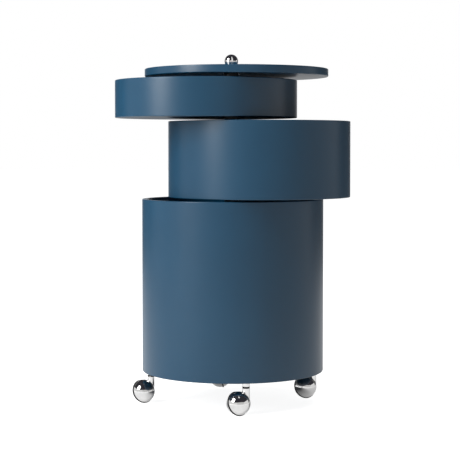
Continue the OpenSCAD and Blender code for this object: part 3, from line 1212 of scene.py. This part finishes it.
    def shape_tread(self) -> Bench:
        """Turns the tread with its round bead.

        Returns:
            The bench with the tread on it.
        """
        bead = self.tread_w / 2
        outer = self.ball_r + self.proud
        bench = Bench.section("tread", (outer - 2 * bead, outer),
                              (self.tread_foot, self.tread_foot + self.tread_w))
        bench.ease(bead * self.bead_share, self.bead_steps, Pick.VERTS, lambda p: p.x > outer - CLOSE)
        bench.turn(LARGE_SIDES)
        bench.shift(self.in_ball())
        return bench

    def shape_pin(self) -> Bench:
        """Makes the pin that the wheel runs on.

        Returns:
            The bench with the pin on it.
        """
        tip = self.pin_in_wheel - SLIDE
        bench = Bench.cylinder("pin", ORIGIN, self.pin_r, (-self.pin_in_hood, tip), BORE_SIDES)
        bench.soften(self.pin_round, EDGE_STEPS, lambda p: p.z > tip - CLOSE)
        bench.shift(self.in_ball())
        return bench

    def shape_spindle(self) -> Bench:
        """Makes the spindle that turns in the socket.

        Returns:
            The bench with the spindle on it.
        """
        top = self.underside + self.floor_t - self.spindle_short
        bench = Bench.cylinder("spindle", ORIGIN, self.spindle_r,
                               (self.washer_z - self.spindle_seat, top), BORE_SIDES)
        bench.soften(self.stem_round, ROUND_STEPS, lambda p: p.z > top - CLOSE)
        return bench

    def shape_washer(self) -> Bench:
        """Turns the dark washer that the caster swivels on.

        Returns:
            The bench with the washer on it.
        """
        bench = Bench.section("washer", (self.spindle_r + SEAT, self.neck_r),
                              (self.washer_z, self.washer_z + self.washer_t))
        bench.ease(self.washer_round, EDGE_STEPS, Pick.VERTS, lambda _: True)
        bench.turn(SMALL_SIDES)
        return bench

    def build(self) -> None:
        """Models each piece once and sets it in all four casters."""
        stems = self.stems()
        sockets = self.shape_socket().copies([f"{name}_collar" for name in self.names], stems)
        self.shop.hand_over(joined("caster_collars", sockets), Slot.CHROME, Body.CABINET,
                            ["caster_sockets"])
        kinds = (
            ("half_ball", "hood", "caster", Slot.CHROME, self.shape_hood),
            ("stem_spindle", "spindle", "caster", Slot.ZINC_STEEL, self.shape_spindle),
            ("stem_washer", "swivel_washer", "caster", Slot.BLACK_NYLON, self.shape_washer),
            ("wheel_pin", "pin", "caster", Slot.ZINC_STEEL, self.shape_pin),
            ("rolling_half", "wheel", "roller", Slot.CHROME, self.shape_wheel),
            ("wheel_band", "tread", "roller", Slot.TREAD_RUBBER, self.shape_tread),
        )
        for piece, node, body, slot, shape in kinds:
            copies = shape().copies([f"{name}_{piece}" for name in self.names], stems)
            for name, copy in zip(self.names, copies):
                self.shop.hand_over(copy, slot, f"{name}_{body}", [f"{name}_{node}"])


# Studio


@dataclass(frozen=True)
class Lamp:
    """Soft rectangular lamp that faces the cabinet."""

    name: str
    azimuth: float
    distance: float
    level: float
    size: tuple[float, float]
    radiance: float
    reflected: bool = True
    aim: float = 400.0


@dataclass(frozen=True)
class Card:
    """Card, upright or flat overhead, that only shows in reflections."""

    name: str
    azimuth: float
    distance: float
    foot: float
    size: tuple[float, float]
    tone: Colour
    flat: bool = False


@dataclass(frozen=True)
class Rays:
    """Strength of a glow for each kind of ray."""

    camera: float
    glossy: float
    diffuse: float


@dataclass
class Studio:
    """Camera, lamps, cards, floor and surroundings."""

    camera_place: tuple[float, float, float] = (52.0, -2954.0, 532.3)
    camera_turn: float = 1.121
    camera_pitch: float = 2.1
    lens: float = 110.06
    middle_row: float = 199.12
    picture: int = 460
    floor_size: float = 60000.0
    clip_end: float = 100000.0
    floor_albedo: float = 0.62
    floor_gloss: float = 0.9
    white_floor: tuple[float, float] = (500.0, 1500.0)
    # Reach from the axis over which the floor's glow in reflections rises from nothing: a painted shade
    # under the cabinet.
    painted_shade_under_cabinet: tuple[float, float] = (90.0, 200.0)
    floor_glow: Rays = Rays(0.9, 0.45, 0.02)
    sky: Rays = Rays(1.0, 0.85, 0.08)
    lamps: tuple[Lamp, ...] = (
        Lamp("key", -54.5, 2450.0, 1560.0, (1500.0, 1600.0), 2.2),
        Lamp("key_core", -56.3, 2420.0, 1620.0, (740.0, 1600.0), 12.6),
        Lamp("left_fill", -72.0, 2500.0, 2100.0, (1500.0, 2000.0), 2.0, False),
        Lamp("top", 0.0, 300.0, 3000.0, (2400.0, 2400.0), 2.5),
        Lamp("back_fill", 170.0, 2600.0, 1500.0, (1600.0, 1600.0), 1.1, False),
    )
    cards: tuple[Card, ...] = (
        Card("dark_back_left", -136.0, 3200.0, 0.0, (2600.0, 3200.0), (0.12, 0.12, 0.12)),
        Card("dark_back_right", 136.0, 3200.0, 0.0, (2600.0, 3200.0), (0.12, 0.12, 0.12)),
        Card("grey_front", 22.0, 3500.0, 0.0, (4200.0, 1300.0), (0.66, 0.66, 0.66)),
        Card("strip_right", 12.2, 555.0, 740.0, (177.0, 1500.0), (1.0, 1.0, 1.0)),
        Card("dark_strip_left", -17.2, 550.0, 740.0, (138.0, 1500.0), (0.03, 0.03, 0.035)),
        Card("dark_strip_right", 48.5, 488.0, 740.0, (480.0, 1500.0), (0.03, 0.03, 0.035)),
        Card("dark_ceiling", 0.0, 0.0, 2400.0, (14000.0, 14000.0), (0.035, 0.034, 0.042), True),
    )

    def place_camera(self) -> None:
        """Sets the camera at the photograph's viewing point."""
        data = bpy.data.cameras.new("camera")
        data.lens = self.lens
        data.shift_y = (self.middle_row - self.picture / 2) / self.picture
        data.clip_end = self.clip_end * MM
        camera = bpy.data.objects.new("camera", data)
        camera.location = Vector(self.camera_place) * MM
        camera.rotation_euler = (math.radians(90 - self.camera_pitch), 0.0,
                                 math.radians(self.camera_turn))
        bpy.context.scene.collection.objects.link(camera)
        bpy.context.scene.camera = camera

    @staticmethod
    def towards(azimuth: float, distance: float, level: float) -> Vector:
        """Finds a spot in the studio."""
        angle = math.radians(azimuth)
        return Vector((distance * math.sin(angle), -distance * math.cos(angle), level))

    def place_lamp(self, lamp: Lamp) -> None:
        """Sets a soft lamp that faces the cabinet.

        Args:
            lamp: The lamp.
        """
        data = bpy.data.lights.new(lamp.name, "AREA")
        data.shape = "RECTANGLE"
        data.size, data.size_y = lamp.size[0] * MM, lamp.size[1] * MM
        data.energy = math.pi * data.size * data.size_y * lamp.radiance
        made = bpy.data.objects.new(lamp.name, data)
        spot = self.towards(lamp.azimuth, lamp.distance, lamp.level)
        made.location = spot * MM
        made.rotation_euler = (UP * lamp.aim - spot).to_track_quat("-Z", "Y").to_euler()
        made.visible_camera = False
        made.visible_glossy = lamp.reflected
        bpy.context.scene.collection.objects.link(made)

    def place_card(self, card: Card) -> None:
        """Stands a card in the studio that only shows in reflections.

        Args:
            card: The card.
        """
        Bench.clear()
        level = card.foot if card.flat else card.foot + card.size[1] / 2
        spot = self.towards(card.azimuth, card.distance, level)
        tilt = 0.0 if card.flat else math.radians(90)
        bpy.ops.mesh.primitive_plane_add(size=1.0, location=spot * MM,
                                         rotation=(tilt, 0.0, math.radians(card.azimuth)))
        made = bpy.context.view_layer.objects.active
        made.name = card.name
        made.scale = (card.size[0] * MM, card.size[1] * MM, 1.0)
        settle(made)
        graph = Graph(card.name)
        graph.set(Base_Color=BLACK, Specular_IOR_Level=0.0, Emission_Color=(*card.tone, 1.0),
                  Emission_Strength=1.0)
        made.data.materials.append(graph.material)
        made.visible_camera = False
        made.visible_diffuse = False
        made.visible_transmission = False
        made.visible_shadow = False

    def light(self) -> None:
        """Sets the lamps and the cards."""
        for lamp in self.lamps:
            self.place_lamp(lamp)
        for card in self.cards:
            self.place_card(card)

    @staticmethod
    def glow(tree: bpy.types.NodeTree, rest: float,
             parts: Sequence[tuple[str, float | bpy.types.NodeSocket]]) -> bpy.types.NodeSocket:
        """Adds up a strength that depends on the kind of ray.

        Args:
            tree: Node tree to build it in.
            rest: Strength for every ray.
            parts: What is added for each kind of ray, by its name.

        Returns:
            The strength.
        """
        path = tree.nodes.new("ShaderNodeLightPath")
        total = None
        for output, level in parts:
            step = tree.nodes.new("ShaderNodeMath")
            step.operation = "MULTIPLY_ADD"
            tree.links.new(path.outputs[output], step.inputs[0])
            if isinstance(level, float):
                step.inputs[1].default_value = level
            else:
                tree.links.new(level, step.inputs[1])
            if total is None:
                step.inputs[2].default_value = rest
            else:
                tree.links.new(total, step.inputs[2])
            total = step.outputs[0]
        return total

    def surround(self) -> None:
        """Makes the surroundings white to the camera and in reflections, and grey as a light."""
        world = bpy.data.worlds.new("surroundings")
        bpy.context.scene.world = world
        world.use_nodes = True
        back = world.node_tree.nodes["Background"]
        back.inputs["Color"].default_value = WHITE
        rest = self.sky.diffuse
        parts = (("Is Camera Ray", self.sky.camera - rest), ("Is Glossy Ray", self.sky.glossy - rest),
                 ("Is Transmission Ray", self.sky.camera - rest))
        world.node_tree.links.new(self.glow(world.node_tree, rest, parts), back.inputs["Strength"])
        bpy.context.scene.view_settings.view_transform = "Standard"

    def lay_floor(self) -> None:
        """Lays a white floor that keeps the cabinet's shadow, with its glow in reflections cut under
        the cabinet as painted shade.
        """
        Bench.clear()
        bpy.ops.mesh.primitive_plane_add(size=self.floor_size * MM)
        floor = bpy.context.view_layer.objects.active
        floor.name = "studio_floor"
        graph = Graph("studio_floor")
        graph.set(Base_Color=(*(self.floor_albedo,) * 3, 1.0), Roughness=self.floor_gloss,
                  Specular_IOR_Level=0.0, Emission_Color=WHITE)
        away = graph.node("ShaderNodeVectorMath")
        away.operation = "LENGTH"
        graph.link(graph.place, away.inputs[0])
        reach = away.outputs["Value"]
        near, far = self.white_floor
        seen = graph.spread(reach, self.floor_glow.camera, 1.0, near * MM, far * MM, True)
        # Painted shade: the floor's glow in reflections is cut under the cabinet, so the casters mirror
        # a dark floor there.
        near, far = self.painted_shade_under_cabinet
        mirrored_with_painted_shade = graph.spread(reach, 0.0, self.floor_glow.glossy, near * MM, far * MM, True)
        parts = (("Is Camera Ray", seen), ("Is Glossy Ray", mirrored_with_painted_shade), ("Is Transmission Ray", seen))
        graph.link(self.glow(graph.tree, self.floor_glow.diffuse, parts),
                   graph.shader.inputs["Emission Strength"])
        floor.data.materials.append(graph.material)


def main() -> None:
    """Builds the cabinet and the studio, in order."""
    logging.basicConfig(level=logging.INFO, format="%(name)s: %(message)s")
    studio = Studio()
    studio.place_camera()
    shop = Shop(Finishes())
    axle, hub, casters = Axle(shop), Hub(shop), Casters(shop)
    lid = Lid(shop, hub)
    base = Drum(shop, "base", Body.CABINET, 65.0, 360.0, 18.0)
    middle = Drum(shop, "middle", Body.MIDDLE, 429.0, 158.0, 12.0, -20.3)
    upper = Drum(shop, "upper", Body.UPPER, 594.0, 78.0, 12.0, 20.3)
    nut_pocket = Bench.cylinder("pocket", AXLE, axle.washer_r + axle.washer_room,
                                (base.foot - OVER, axle.nut_foot + axle.nut_h + axle.washer_t))
    axle_hole = Bench.cylinder("bore", AXLE, axle.thread_r + SEAT, (base.foot, base.floor_top + OVER),
                               BORE_SIDES)
    base.build_wall()
    base.build_floor([nut_pocket, axle_hole, *casters.sockets()])
    for drum in (middle, upper):
        bore = Bench.drill(AXLE, hub.tube_r + SEAT, (drum.foot, drum.floor_top), ROUND_SIDES)
        drum.build_wall()
        drum.build_floor([bore])
        nodes = (f"{drum.name}_plate", f"{drum.name}_screws")
        hub.build_plate(drum.name, nodes, drum.body, drum.floor_top, drum.turn)
        hub.build_sleeve(drum)
    hub.build_plate("column", ("column_plate", "column_screws"), Body.CABINET, base.floor_top)
    lid.build_panel()
    lid.build_hub()
    axle.build_rod()
    axle.build_foot()
    axle.build_column(base.top, hub.tube_r)
    axle.build_spacers({"low": (base.top, middle.foot), "mid": (middle.top, upper.foot),
                        "top": (upper.top, lid.foot)}, hub.tube_r)
    axle.build_knob()
    casters.build()
    studio.light()
    studio.surround()
    studio.lay_floor()
    LOG.info("%d pieces made", shop.made)


if __name__ == "__main__":
    main()
